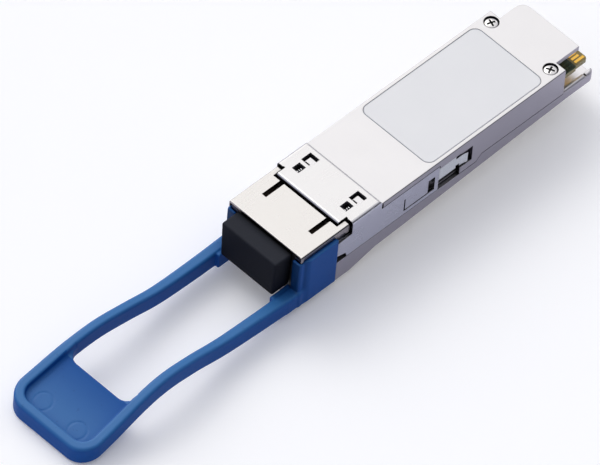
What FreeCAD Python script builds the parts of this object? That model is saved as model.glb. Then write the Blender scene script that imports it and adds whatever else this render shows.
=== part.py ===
import FreeCAD, Part
import math
import os

# Optical transceiver module, four-lane pluggable type with a duplex fibre port.
# Millimetres. Working frame: X is the width, Y runs from the port (front) to
# the edge connector (rear), Z is up.  Y = 0 is the front edge of the nose
# cover and Z = 0 is the underside of the rear of the body; put_in_place()
# moves every piece so that the origin is at the bottom centre of the whole.

V = FreeCAD.Vector

# ---- driving dimensions: body --------------------------------------------
MODULE_WIDTH = 18.35
MODULE_LENGTH = 72.4
BODY_TOP = 8.5
HALF = MODULE_WIDTH / 2
NOSE_UNDERSIDE = -4.0
MID_UNDERSIDE = -2.2
NOSE_HALF = 8.55
NOSE_TOP = 8.35
NOSE_COVER_TOP = 8.75
NOSE_COVER_REAR = 9.6       # where its middle ends, in front of the collar
NOSE_STEP_HALF = 7.75
NOSE_REAR = 13.2
SHOULDER_Y = 64.4           # where the side walls of the cover end
SEAM_FRONT = 0.9
SEAM_REAR = 2.1
SEAM_GAP = 0.16
SEAM_STEP = (42.9, 44.2)
COVER_ROOF = 7.3            # inner face of the cover's top
COVER_INNER = 7.75          # half the distance between its side walls
TRAY_WALL_TOP = 2.5
TRAY_FLOOR = 0.95
TRAY_INNER = 8.35
TONGUE_HALF = 6.85
TONGUE_REAR = 70.05

# ---- fibre port and optics ------------------------------------------------
PORT_PITCH = 6.25
PORT_AXIS_Z = 2.6
PORT_X = (-PORT_PITCH / 2, PORT_PITCH / 2)
PORT_WIDTH = 4.7
PORT_BLOCK = 6.8            # half width of the moulded port
PORT_DEPTH = 9.2
FERRULE_R = 0.625
BARREL_R = 1.475
PACKAGE_Y = (14.2, 27.2)

# ---- latch ----------------------------------------------------------------
LATCH_TRAVEL = 2.6
ARM_IN = 8.58
ARM_SHEET = 0.35
ARM_Z = (3.0, 6.3)
GROOVE_X = 8.5
STRAP_Z = (-3.3, -2.92)
WING_IN = 8.975
COLLAR_REAR = 19.2
COLLAR_TOP = 9.1
COLLAR_LOW = 8.85           # top of the land that carries the collar's roof
COLLAR_TONGUE = (7.43, 10.05)   # half width and front edge of the roof's tongue
WING_LOW = 1.1
TICK_WINDOW = ((5.0, 6.6), (12.95, 14.8))
LOCK_WINDOW = ((4.66, 6.9), (15.5, 17.8))
LOCK_GAP = 0.58             # open strip of each lock window, at its left and at its rear
LOCK_TOP = 8.75
POCKET_FLOOR = 7.6          # of the pockets under both kinds of window
SHEET = 0.25
SPRING_X = 7.93
SPRING_Z = 4.3
SPRING_Y = (15.0, 21.8)
SPRING_R = 0.46
SPRING_WIRE_R = 0.09
SPRING_TURNS = 9

# ---- pull tab -------------------------------------------------------------
# Side view of the tab (Y, height of its middle) and half widths of its plan (Y, X).
TAB_MIDDLE = [(-52.4, -3.35), (-44.0, -1.35), (-38.5, 0.0), (-32.5, 0.7), (-25.0, -0.1),
              (-18.5, -1.3), (-10.0, -1.85), (0.0, -2.0)]
TAB_OUTSIDE = [(-52.4, 9.95), (-44.0, 9.7), (-34.0, 9.15), (-22.0, 8.8), (-11.0, 8.97), (0.0, 9.25)]
TAB_INSIDE = [(-52.4, 8.0), (-44.0, 7.7), (-34.0, 7.2), (-22.0, 6.87), (0.0, 6.8)]
TAB_HEIGHT = 3.7
TAB_TIP_Y = TAB_MIDDLE[0][0]
TAB_LOWEST = TAB_MIDDLE[0][1] - TAB_HEIGHT / 2
TIP_CORNER = 4.3
TIP_RIM = 1.8
GRIP_REAR = -39.7           # where the grip panel ends and the finger hole starts
GRIP_DEPTH = 1.1
HOLE_CORNER = 2.5
PLATE_OUT = 9.45
PLATE_FRONT = 0.1
PLATE_REAR = 8.7
PLATE_CORNER = 2.0
PLATE_Z = (-3.6, 7.35)
SWEEP_R = 1.6               # hollow corner between each arm and its plate
LIP_X = (7.0, 8.7)          # lip of each plate over the front of the nose
LIP_Y = (-0.35, 0.2)
HEEL_X = (6.1, 7.3)         # thicker root of each arm, beside the dust plug
HEEL_FRONT = -4.35
HEEL_Z = (-3.6, -0.3)
ANCHOR_X = (7.0, 8.0)       # prong of the slider moulded into each arm of the tab
ANCHOR_FRONT = -4.9
ANCHOR_TOP = -0.75

# ---- board ----------------------------------------------------------------
BOARD_Z = (4.3, 5.3)
BOARD_FRONT = 30.0
BOARD_REAR = 71.6
BOARD_TAIL_HALF = 7.85
PAD_PITCH = 0.8
PAD_COUNT = 19
PAD_WIDTH = 0.54
PAD_PROUD = 0.05

# ---- screws ---------------------------------------------------------------
SCREW_X = 7.2
SCREW_Y = 62.6
SCREW_HEAD_R = 1.25
SCREW_RECESS_R = 1.42
SCREW_SEAT_Z = 7.62
SCREW_SHANK_R = 0.68
SCREW_TOP = 8.42

# ---- whole object ---------------------------------------------------------
ORIGIN = V(0, (MODULE_LENGTH + TAB_TIP_Y) / 2, TAB_LOWEST)


# ---- small helpers --------------------------------------------------------
def box(x, y, z):
    """A block between two values on each axis."""
    return Part.makeBox(x[1] - x[0], y[1] - y[0], z[1] - z[0], V(x[0], y[0], z[0]))


def prism_x(points, x):
    """A (Y, Z) outline pushed along X."""
    corners = [V(x[0], y, z) for y, z in points]
    face = Part.Face(Part.makePolygon(corners + corners[:1]))
    return face.extrude(V(x[1] - x[0], 0, 0))


def prism_z(points, z):
    """An (X, Y) outline pushed along Z."""
    corners = [V(x, y, z[0]) for x, y in points]
    face = Part.Face(Part.makePolygon(corners + corners[:1]))
    return face.extrude(V(0, 0, z[1] - z[0]))


def rod_y(x, z, radius, y):
    return Part.makeCylinder(radius, y[1] - y[0], V(x, y[0], z), V(0, 1, 0))


def rod_z(x, y, radius, z):
    return Part.makeCylinder(radius, z[1] - z[0], V(x, y, z[0]), V(0, 0, 1))


def mirrored(shape):
    """The same shape on the other side of the module."""
    return shape.mirror(V(0, 0, 0), V(1, 0, 0))


def on_both_sides(shape):
    return [shape, mirrored(shape)]


def fused(shapes):
    return shapes[0].multiFuse(shapes[1:]).removeSplitter() if len(shapes) > 1 else shapes[0]


def cut(shape, tools):
    return shape.cut(Part.Compound(tools)).removeSplitter()


def edges_where(shape, test):
    """Edges whose two ends both pass a test on (x, y, z)."""
    picked = []
    for edge in shape.Edges:
        ends = [v.Point for v in edge.Vertexes]
        if len(ends) == 2 and all(test(p.x, p.y, p.z) for p in ends):
            picked.append(edge)
    return picked


def near(a, b):
    return abs(a - b) < 1e-4


def put_in_place(name, shape):
    """Move a piece to the origin of the whole, check it and write it."""
    moved = shape.copy()
    moved.translate(V(-ORIGIN.x, -ORIGIN.y, -ORIGIN.z))
    if not moved.isValid():
        print("not valid:", name)
    moved.exportStep("parts/" + name + ".step")
    print("%-24s %2d solid(s) %9.2f mm3" % (name, len(moved.Solids), moved.Volume))


# ---- housing --------------------------------------------------------------
def underside_points():
    """The underside from the nose to the rear end."""
    return [(8.75, NOSE_UNDERSIDE), (12.3, NOSE_UNDERSIDE), (18.5, MID_UNDERSIDE - 0.3),
            (25.0, MID_UNDERSIDE), (54.0, -0.6), (66.0, 0.0), (MODULE_LENGTH, 0.0)]


def seam_points(lift):
    """The parting line between base and cover, from front to rear."""
    return [(SEAM_STEP[0], SEAM_FRONT + lift), (SEAM_STEP[1], SEAM_REAR + lift)]


def make_bottom_housing():
    """Die-cast base: deep nose for the port, shallow tray behind it."""
    upper = [(MODULE_LENGTH, TRAY_WALL_TOP), (SHOULDER_Y, TRAY_WALL_TOP),
             (SHOULDER_Y, SEAM_REAR)] + seam_points(0)[::-1] + [(8.75, SEAM_FRONT)]
    body = prism_x(underside_points() + upper, (-HALF, HALF))
    flanks = edges_where(body, lambda x, y, z: near(abs(x), HALF) and z < 0.1)
    flanks = [e for e in flanks if abs(e.Vertexes[0].Y - e.Vertexes[1].Y) > 1]
    body = body.makeFillet(0.4, flanks)
    ends = edges_where(body, lambda x, y, z: near(y, MODULE_LENGTH) and near(z, 0))
    body = body.makeFillet(1.4, ends)
    tops = edges_where(body, lambda x, y, z: near(y, MODULE_LENGTH) and near(z, TRAY_WALL_TOP))
    body = body.makeFillet(0.5, tops)
    nose = box((-NOSE_HALF, NOSE_HALF), (0.3, NOSE_REAR), (NOSE_UNDERSIDE, NOSE_TOP))
    nose = nose.makeChamfer(0.25, edges_where(nose, lambda x, y, z: near(y, 0.3)))

    inner = prism_x([(NOSE_REAR, -0.6), (34.0, -0.6), (60.0, TRAY_FLOOR), (63.5, TRAY_FLOOR),
                     (63.5, 9.0), (NOSE_REAR, 9.0)], (-COVER_INNER, COVER_INNER))
    tray = box((-TRAY_INNER, TRAY_INNER), (SHOULDER_Y, 80.0), (TRAY_FLOOR, 9.0))
    cavity = box((-PORT_BLOCK - 0.05, PORT_BLOCK + 0.05), (0.0, 12.05), (-2.0, 7.6))
    window = box((-6.6, 6.6), (12.0, NOSE_REAR + 1), (-0.5, 5.7))
    strap_groove = box((-HALF, HALF), (0.8, 8.3), (-5.0, -2.86))
    cuts = [inner, tray, cavity, window, strap_groove]
    cuts += on_both_sides(box((ANCHOR_X[0] - 0.2, ANCHOR_X[1] + 0.2), (0.0, 1.0), (-5.0, -2.86)))
    cuts += on_both_sides(box((7.9, 8.7), (8.8, 11.3), (SEAM_FRONT, 3.0)))
    cuts += on_both_sides(box(TICK_WINDOW[0], (TICK_WINDOW[1][0], NOSE_REAR + 0.1), (7.7, 9)))
    cuts.append(box((-NOSE_STEP_HALF, NOSE_STEP_HALF), (NOSE_COVER_REAR - 0.15, 10.7), (7.75, 9)))
    cuts += on_both_sides(box((7.2, NOSE_STEP_HALF), (10, 12.6), (7.75, 9)))
    cuts += on_both_sides(box((5.0, 6.2), (5.1, 9.7), (7.75, 9)))
    shell = cut(fused([body, nose]), cuts)

    bosses = [rod_z(x, SCREW_Y, 1.4, (0.4, COVER_ROOF - 0.02)) for x in (-SCREW_X, SCREW_X)]
    posts = [box((x - 0.7, x + 0.7), (y, y + 1.4), (-0.7, BOARD_Z[0]))
             for x in (-6.2, 6.2) for y in (33.0, 52.0)]
    cross_wall = box((-COVER_INNER, COVER_INNER), (63.5, SHOULDER_Y), (0.5, BOARD_Z[0]))
    shell = fused([shell, cross_wall] + bosses + posts)
    threads = [rod_z(x, SCREW_Y, 0.7, (1.8, 9.0)) for x in (-SCREW_X, SCREW_X)]
    nicks = [box((HALF - 0.9, HALF + 0.1), (69.9, 70.3), (TRAY_WALL_TOP - 0.25, 3.0))]
    nicks += [mirrored(nicks[0])]
    return cut(shell, threads + nicks)


def cover_outline():
    """Side view of the cover: open below, stepped parting line."""
    points = [(NOSE_REAR + SEAM_GAP, SEAM_FRONT + SEAM_GAP)] + seam_points(SEAM_GAP)
    return points + [(SHOULDER_Y, SEAM_REAR + SEAM_GAP), (SHOULDER_Y, BODY_TOP),
                     (NOSE_REAR + SEAM_GAP, BODY_TOP)]


def rounded_plate(half, y, z, corner):
    """A flat plate with four round corners."""
    plate = box((-half, half), y, z)
    upright = [e for e in plate.Edges if abs(e.Vertexes[0].Z - e.Vertexes[1].Z) > 1e-6]
    return plate.makeFillet(corner, upright)


def lock_pocket(x):
    """Pocket under a lock window, around the cast boss that fills most of it."""
    y = LOCK_WINDOW[1]
    boss = box((x[0] + LOCK_GAP, x[1]), (y[0], y[1] - LOCK_GAP), (7, LOCK_TOP))
    notch = box((x[0] + LOCK_GAP + 0.1, x[0] + LOCK_GAP + 1.15), (y[0], y[0] + 0.5), (7, 9))
    return box(x, y, (POCKET_FLOOR, 9)).cut(boss.cut(notch))


def make_top_cover():
    """Die-cast cover with its side walls, latch grooves and rear tongue."""
    shell = prism_x(cover_outline(), (-HALF, HALF))
    long_tops = edges_where(shell, lambda x, y, z: near(abs(x), HALF) and near(z, BODY_TOP))
    shell = shell.makeFillet(0.12, long_tops)
    tongue = box((-TONGUE_HALF, TONGUE_HALF), (SHOULDER_Y - 0.1, TONGUE_REAR), (7.5, BODY_TOP))
    corner = edges_where(tongue, lambda x, y, z: near(x, -TONGUE_HALF) and near(y, TONGUE_REAR))
    tongue = tongue.makeFillet(1.8, corner)

    hollow = box((-COVER_INNER, COVER_INNER), (0, 63.5), (-5, COVER_ROOF))
    board_slot = box((-5.3, 5.3), (60, 70), (-5, 5.7))
    below_slot = box((-COVER_INNER - 0.02, COVER_INNER + 0.02), (63.4, 66), (-5, BOARD_Z[0] + 0.03))
    bosses = []
    for x in (-SCREW_X, SCREW_X):
        bosses += [rod_z(x, SCREW_Y, 1.5, (-5, COVER_ROOF)),
                   rod_z(x, SCREW_Y, 0.8, (5, 9)),
                   rod_z(x, SCREW_Y, SCREW_RECESS_R, (SCREW_SEAT_Z, 9))]
    shell = cut(shell, [hollow, board_slot, below_slot] + bosses)

    land = box((-8.95, 8.95), (NOSE_REAR + SEAM_GAP, COLLAR_REAR), (BODY_TOP - 0.1, COLLAR_LOW))
    land_rims = edges_where(land, lambda x, y, z: near(abs(x), 8.95) and near(z, COLLAR_LOW))
    land = land.makeFillet(0.4, land_rims)
    spring_block = box((6.9, COVER_INNER + 0.2), (14.3, 23.2), (3.0, 5.6))
    shell = fused([shell, tongue, land] + on_both_sides(spring_block))

    wing_seat = box((8.95, 10), (12, 33.65), (0, 7.15))
    collar_seat = box((8.95, 10), (12, COLLAR_REAR + 0.05), (0, 9.5))
    collar_gap = box((8.45, 10), (COLLAR_REAR, COLLAR_REAR + 0.45), (6, 8.2))
    groove = box((GROOVE_X, 10), (12, 38.8), (0, 6.4))
    groove_depth = box((8.05, 9), (30.6, 39.2), (1.45, 3.0))
    window_depth = box((8.05, 9), (30.6, 32.7), (1.8, 5.3))
    tip_pocket = box((GROOVE_X - 0.3, 10), (38.0, 41.7), (2.6, 6.2))
    spring_pocket = box((7.35, GROOVE_X + 0.1), (SPRING_Y[0], 22.4), (3.65, 4.95))
    tick_pocket = box(*TICK_WINDOW, (POCKET_FLOOR, 9))
    side_cuts = [wing_seat, collar_seat, collar_gap, groove, groove_depth, window_depth, tip_pocket,
                 spring_pocket, tick_pocket]
    cuts = [shape for side in side_cuts for shape in on_both_sides(side)]
    cuts += [lock_pocket(LOCK_WINDOW[0]), lock_pocket((-LOCK_WINDOW[0][1], -LOCK_WINDOW[0][0]))]
    cuts.append(rounded_plate(8.5, (31.25, 59.95), (BODY_TOP - 0.12, 9), 1.65))
    cuts.append(box((-10, 10), (COLLAR_REAR, COLLAR_REAR + 0.1), (BODY_TOP - 0.1, 9)))
    return cut(shell, cuts)


def make_label_plate():
    """Blank label in its shallow pocket."""
    return rounded_plate(8.42, (31.33, 59.87), (BODY_TOP - 0.12, BODY_TOP - 0.01), 1.6)


def make_nose_cover():
    """Stamped plate over the nose: two slots, folded side flanges."""
    half = 8.76
    top = NOSE_COVER_TOP
    plate = box((-half, half), (0.0, 11.5), (NOSE_TOP + 0.02, top))
    flange = prism_x([(0.0, top), (0.0, 7.4), (10.5, 7.4), (11.0, 6.7), (11.4, 6.7),
                      (11.7, 7.0), (11.7, top - 0.3), (11.5, top)], (half - 0.19, half))
    shell = fused([plate] + on_both_sides(flange))
    bends = edges_where(shell, lambda x, y, z: near(abs(x), half) and near(z, top))
    shell = shell.makeFillet(0.17, bends)
    slots = [box((x - 0.5, x + 0.5), (5.2, 13), (7, 9)) for x in (-5.6, 5.6)]
    rear_edge = box((-NOSE_STEP_HALF, NOSE_STEP_HALF), (NOSE_COVER_REAR, 13), (8, 9))
    return cut(shell, slots + [rear_edge])


def make_emi_collar():
    """Stamped stainless collar over the cover, with its two side wings."""
    out = WING_IN + SHEET
    tongue_half, tongue_front = COLLAR_TONGUE
    roof_y = (tongue_front, COLLAR_REAR)
    arch = box((-out, out), roof_y, (6.5, COLLAR_TOP))
    rims = edges_where(arch, lambda x, y, z: near(abs(x), out) and near(z, COLLAR_TOP))
    arch = arch.makeFillet(0.6, rims)
    inside = box((-WING_IN, WING_IN), roof_y, (6.0, COLLAR_LOW))
    rims = edges_where(inside, lambda x, y, z: near(abs(x), WING_IN) and near(z, COLLAR_LOW))
    arch = arch.cut(inside.makeFillet(0.35, rims))
    side = prism_x([(8.75, WING_LOW), (33.4, WING_LOW), (33.4, 7.1), (COLLAR_REAR, 7.1), (11.9, 7.1),
                    (11.9, 6.2), (8.75, 6.0)], (WING_IN, out))
    shell = fused([arch] + on_both_sides(side))

    cuts = [box((tongue_half, 10), (9, 12.05), (6.2, 10)),
            box((tongue_half, tongue_half + 0.4), (9, 12.2), (8, 10)),
            box(*TICK_WINDOW, (8, 10)),
            box(*LOCK_WINDOW, (8, 10)),
            box((8, 10), (30.85, 32.45), (1.95, 5.25)),
            box((8, 10), (24.95, 25.25), (1.95, 5.0)),
            box((8, 10), (24.95, 30.9), (1.95, 2.25)),
            prism_x([(8.6, 2.75), (10.8, 2.15), (11.2, WING_LOW - 0.1), (8.6, WING_LOW - 0.1)], (8, 10))]
    return cut(shell, [c for tool in cuts for c in on_both_sides(tool)])


def make_cover_screws():
    """Two small cross-recess screws."""
    screws = []
    for x in (-SCREW_X, SCREW_X):
        head = rod_z(x, SCREW_Y, SCREW_HEAD_R, (SCREW_SEAT_Z, SCREW_TOP))
        rim = [e for e in head.Edges if all(near(v.Z, SCREW_TOP) for v in e.Vertexes)]
        head = head.makeFillet(0.15, rim[:1])
        shank = rod_z(x, SCREW_Y, SCREW_SHANK_R, (2.6, SCREW_SEAT_Z + 0.1))
        turn = 25 if x > 0 else -20
        for angle in (turn, turn + 90):
            slot = box((-0.85, 0.85), (-0.17, 0.17), (8.02, 9))
            slot.rotate(V(0, 0, 0), V(0, 0, 1), angle)
            slot.translate(V(x, SCREW_Y, 0))
            head = head.cut(slot)
        screws.append(fused([head, shank]))
    return Part.Compound(screws)


# ---- port and optics ------------------------------------------------------
def make_lc_receptacle():
    """Moulded duplex port: two keyed sockets and the seats for the barrels."""
    body = box((-PORT_BLOCK, PORT_BLOCK), (0.35, 12.0), (-1.95, 7.55))
    cuts = []
    for x in PORT_X:
        half = PORT_WIDTH / 2
        cuts.append(box((x - half, x + half), (0, PORT_DEPTH), (0.2, 5.0)))
        cuts.append(box((x - 1.7, x + 1.7), (0, 6.4), (4.9, 6.9)))
        cuts.append(box((x - half, x + half), (3.4, 6.4), (4.9, 6.1)))
        cuts.append(rod_y(x, PORT_AXIS_Z, BARREL_R + 0.03, (5, 13)))
    return cut(body, cuts)


def make_receptacle_clamp():
    """Stamped plate that holds both optical packages against the nose."""
    plate = box((-6.5, 6.5), (13.82, 14.17), (-0.45, 6.9))
    holes = [rod_y(x, PORT_AXIS_Z, BARREL_R + 0.1, (13, 15)) for x in PORT_X]
    waist = [box((6.2, 7), (13, 15), (1.5, 3.7)), box((-7, -6.2), (13, 15), (1.5, 3.7))]
    return cut(plate, holes + waist)


def make_package(x, height):
    """Sealed optical package with its barrel and flange."""
    body = box((x - 2.95, x + 2.95), PACKAGE_Y, (0.05, height))
    lid = box((x - 2.7, x + 2.7), (PACKAGE_Y[0] + 0.3, PACKAGE_Y[1] - 0.3), (height, height + 0.2))
    barrel = rod_y(x, PORT_AXIS_Z, BARREL_R, (5.0, PACKAGE_Y[0] + 0.2))
    flange = rod_y(x, PORT_AXIS_Z, 2.3, (12.9, 13.8))
    bore = rod_y(x, PORT_AXIS_Z, 0.84, (4, 12.2))
    return cut(fused([body, lid, barrel, flange]), [bore])


def make_alignment_sleeves():
    """Two split ceramic sleeves that line up the ferrules."""
    sleeves = []
    for x in PORT_X:
        ring = rod_y(x, PORT_AXIS_Z, 0.82, (5.2, 12.1))
        split = box((x - 0.12, x + 0.12), (5, 13), (PORT_AXIS_Z, PORT_AXIS_Z + 1))
        sleeves.append(cut(ring, [rod_y(x, PORT_AXIS_Z, FERRULE_R + 0.005, (5, 13)), split]))
    return Part.Compound(sleeves)


def make_fibre_stubs():
    """Short fibre stubs at the back of each sleeve."""
    return Part.Compound([rod_y(x, PORT_AXIS_Z, FERRULE_R, (9.0, 12.1)) for x in PORT_X])


def make_flex(x, half, start_z):
    """Flat flexible circuit from a package up to the board."""
    t = 0.14
    top = BOARD_Z[1]
    y0 = PACKAGE_Y[1]
    outline = [(y0, start_z), (y0 + 0.7, start_z), (y0 + 2.2, top + 0.35), (y0 + 2.9, top + 0.35),
               (BOARD_FRONT + 0.6, top), (BOARD_FRONT + 2.6, top)]
    back = [(y + 0.12, z + t) for y, z in outline[::-1]]
    back[0] = (outline[-1][0], top + t)
    back[-1] = (y0, start_z + t)
    back[-2] = (y0 + 0.62, start_z + t)
    back[-3] = (y0 + 2.12, top + 0.35 + t)
    return prism_x(outline + back, (x - half, x + half))


# ---- electronics ----------------------------------------------------------
def board_outline():
    """Right half of the board, front to rear; the left half mirrors it."""
    return [(7.4, BOARD_FRONT), (7.4, 60.6), (5.2, 60.6), (5.2, 64.6), (8.1, 64.6),
            (8.1, 68.3), (BOARD_TAIL_HALF, 68.6), (BOARD_TAIL_HALF, 71.1), (7.2, BOARD_REAR)]


def make_main_board():
    """Board with notches for the screw bosses and a plug-in tail."""
    right = board_outline()
    left = [(-x, y) for x, y in right[::-1]]
    board = prism_z(right + left, BOARD_Z)
    tips = edges_where(board, lambda x, y, z: near(y, BOARD_REAR))
    tips = [e for e in tips if abs(e.Vertexes[0].X - e.Vertexes[1].X) > 1]
    return board.makeChamfer(0.28, tips)


def make_edge_contacts(z):
    """Nineteen gold pads on one face of the tail, in two lengths."""
    pads = []
    for i in range(PAD_COUNT):
        x = (i - (PAD_COUNT - 1) / 2) * PAD_PITCH
        rear = BOARD_REAR - (0.45 if i % 3 == 0 else 0.95)
        pads.append(box((x - PAD_WIDTH / 2, x + PAD_WIDTH / 2), (68.9, rear), z))
    return Part.Compound(pads)


def make_chip(x, y, size, height):
    """Flat square package on the board."""
    top = BOARD_Z[1]
    chip = box((x - size[0] / 2, x + size[0] / 2), (y - size[1] / 2, y + size[1] / 2),
               (top, top + height))
    return chip.makeChamfer(0.1, [e for e in chip.Edges
                                  if all(near(v.Z, top + height) for v in e.Vertexes)])


def make_passive_components():
    """Small resistors, capacitors and inductors on the board."""
    top = BOARD_Z[1]
    pieces = []
    for x in (-6.6, -5.4, 5.4, 6.6):
        for y in (38.5, 41.0, 43.5, 56.0, 58.3):
            pieces.append(box((x - 0.25, x + 0.25), (y - 0.5, y + 0.5), (top, top + 0.5)))
    for x in (-2.4, 0.0, 2.4):
        pieces.append(box((x - 0.6, x + 0.6), (58.6, 60.6), (top, top + 0.9)))
    return Part.Compound(pieces)


def make_thermal_pad_optics():
    """Soft pad from both optical packages to the cover."""
    return box((-5.6, 5.6), (16.0, 26.0), (5.2, COVER_ROOF))


def make_thermal_pad_processor():
    return box((-3.3, 3.3), (43.2, 49.8), (BOARD_Z[1] + 1.1, COVER_ROOF))


# ---- latch ----------------------------------------------------------------
def slider_arm():
    """Right arm of the slider: flat strip with a flared tip."""
    x = (ARM_IN, ARM_IN + ARM_SHEET)
    strip = box(x, (1.2, 37.9), ARM_Z)
    riser = box(x, (1.2, 7.9), (STRAP_Z[0], ARM_Z[1]))
    neck = box(x, (37.8, 38.95), (3.6, 5.3))
    tip_side = [(ARM_IN, 38.8), (ARM_IN, 39.3), (8.8, 40.5), (9.12, 40.65),
                (9.12, 40.3), (9.0, 40.1), (ARM_IN + ARM_SHEET, 39.2), (ARM_IN + ARM_SHEET, 38.8)]
    tip = prism_z(tip_side, (2.9, 5.3))
    lug = box((7.5, ARM_IN + 0.1), (SPRING_Y[1], SPRING_Y[1] + 0.35), (3.75, 4.85))
    strip = strip.cut(box((8, 10), (29.7, 33.0), (2, 5.35)))
    return [strip, riser, neck, tip, lug]


def make_latch_slider():
    """One bent strip: an arm on each side, joined by a strap under the nose."""
    strap = box((-ARM_IN - ARM_SHEET, ARM_IN + ARM_SHEET), (4.4, 7.9), STRAP_Z)
    anchor = box(ANCHOR_X, (ANCHOR_FRONT, 4.5), STRAP_Z)
    upstand_x = (ANCHOR_X[0] + 0.3, ANCHOR_X[0] + 0.3 + ARM_SHEET)
    upstand = box(upstand_x, (ANCHOR_FRONT, 0.05), (STRAP_Z[0], ANCHOR_TOP))
    right_side = slider_arm() + [anchor, upstand]
    return fused([strap] + right_side + [mirrored(a) for a in right_side])


def smooth_line(points):
    curve = Part.BSplineCurve()
    curve.interpolate(points)
    return curve.toShape()


def tab_ribbon(below, above):
    """The S-shaped side view of the tab between two offsets from its middle."""
    lower = [V(-12, y, z + below) for y, z in TAB_MIDDLE]
    upper = [V(-12, y, z + above) for y, z in TAB_MIDDLE]
    ends = [Part.makeLine(lower[i], upper[i]) for i in (0, -1)]
    outline = Part.__sortEdges__([smooth_line(lower), smooth_line(upper)] + ends)
    return Part.Face(Part.Wire(outline)).extrude(V(24, 0, 0))


def width_at(rows, y):
    """Straight-line value between two rows of (Y, half width)."""
    for (y0, w0), (y1, w1) in zip(rows, rows[1:]):
        if y0 <= y <= y1:
            return w0 + (w1 - w0) * (y - y0) / (y1 - y0)
    return rows[-1][1]


def tab_plan(rows, first_y, last_y, corner):
    """Plan outline between two values of Y, with its front corners rounded."""
    stations = [first_y] + [y for y, width in rows if first_y < y < last_y] + [last_y]
    right = [V(width_at(rows, y), y, -12) for y in stations]
    left = [V(-p.x, p.y, p.z) for p in right]
    ends = [Part.makeLine(left[i], right[i]) for i in (0, -1)]
    outline = Part.__sortEdges__([smooth_line(left), smooth_line(right)] + ends)
    shape = Part.Face(Part.Wire(outline)).extrude(V(0, 0, 24))
    fronts = [e for e in shape.Edges if all(near(v.Y, first_y) for v in e.Vertexes)
              and abs(e.Vertexes[0].Z - e.Vertexes[1].Z) > 1]
    return shape.makeFillet(corner, fronts)


def make_pull_tab(slider):
    """Soft pull tab: grip paddle, two arms and a plate on each side of the nose."""
    half = TAB_HEIGHT / 2
    outer = tab_plan(TAB_OUTSIDE, TAB_TIP_Y, 0.0, TIP_CORNER)
    hole = tab_plan(TAB_INSIDE, GRIP_REAR, 0.0, HOLE_CORNER)
    grip = tab_plan(TAB_INSIDE, TAB_TIP_Y + TIP_RIM, GRIP_REAR + 3.0, TIP_CORNER - TIP_RIM)
    recess = grip.common(tab_ribbon(half - GRIP_DEPTH, half + 2.0))
    loop = tab_ribbon(-half, half).common(outer)
    plates = []
    for side in (1, -1):
        plate = box((ARM_IN, PLATE_OUT), (PLATE_FRONT, PLATE_REAR), PLATE_Z)
        rims = edges_where(plate, lambda x, y, z: near(x, PLATE_OUT) and (z > 0 or y > 1))
        plate = plate.makeFillet(0.35, rims)
        front = box((0, PLATE_OUT), (PLATE_FRONT, 20), (-6, 9))
        corner = edges_where(front, lambda x, y, z: near(x, PLATE_OUT) and near(y, PLATE_FRONT))
        plate = plate.common(front.makeFillet(PLATE_CORNER, corner))
        bottom = TAB_MIDDLE[-1][1] - half
        web = prism_x([(-4.0, bottom), (0.0, bottom), (PLATE_FRONT + 0.9, PLATE_Z[0]),
                       (PLATE_FRONT + 0.9, SWEEP_R), (PLATE_FRONT, SWEEP_R), (-SWEEP_R, 0.0),
                       (-4.0, -0.3)], (ARM_IN, 9.2))
        hollow = Part.makeCylinder(SWEEP_R, 3, V(8, PLATE_FRONT - SWEEP_R, SWEEP_R), V(1, 0, 0))
        web = web.cut(hollow)
        lip = prism_z([(LIP_X[0], LIP_Y[1]), (LIP_X[0], LIP_Y[0]), (LIP_X[1] - 0.3, LIP_Y[0]),
                       (LIP_X[1], LIP_Y[0] + 0.2), (LIP_X[1] + 0.25, 0.45), (LIP_X[1] + 0.25, 1.0),
                       (ARM_IN, 1.0), (ARM_IN, LIP_Y[1])], (PLATE_Z[0], 7.0))
        heel = box(HEEL_X, (HEEL_FRONT, LIP_Y[1]), HEEL_Z)
        pieces = [plate, web, heel, lip]
        plates += pieces if side > 0 else [mirrored(piece) for piece in pieces]
    tab = cut(loop, [hole, recess])
    return fused([tab] + plates).cut(slider)


def make_return_spring(side):
    """Small compression spring between the cover's pocket and the slider's lug."""
    length = SPRING_Y[1] - SPRING_Y[0] - 2 * SPRING_WIRE_R - 0.02
    helix = Part.makeHelix(length / SPRING_TURNS, length, SPRING_R)
    start = helix.Edges[0].valueAt(helix.Edges[0].FirstParameter)
    tangent = helix.Edges[0].tangentAt(helix.Edges[0].FirstParameter)
    ring = Part.Wire(Part.makeCircle(SPRING_WIRE_R, start, tangent))
    coil = Part.Wire(helix.Edges).makePipeShell([ring], True, True)
    coil.rotate(V(0, 0, 0), V(1, 0, 0), -90)
    coil.translate(V(side * SPRING_X, SPRING_Y[0] + SPRING_WIRE_R + 0.01, SPRING_Z))
    return coil


def make_dust_plug():
    """Dust plug: a block head and two hollow prongs that fill the sockets."""
    front = [V(-6.28, -4.0, -0.15), V(6.28, -4.0, -0.15), V(6.62, -4.0, 7.95), V(-6.62, -4.0, 7.95)]
    head = Part.Face(Part.makePolygon(front + front[:1])).extrude(V(0, 4.2, 0))
    rims = [e for e in head.Edges if min(v.Y for v in e.Vertexes) < -3.9]
    head = head.makeFillet(0.35, rims)
    pieces = [head]
    for x in PORT_X:
        prong = box((x - 2.25, x + 2.25), (0.2, 8.6), (0.35, 4.85))
        key = box((x - 1.5, x + 1.5), (0.2, 5.6), (4.8, 6.6))
        bore = rod_y(x, PORT_AXIS_Z, 1.7, (3.6, 9))
        pieces.append(cut(fused([prong, key]), [bore]))
    return fused(pieces)


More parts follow.
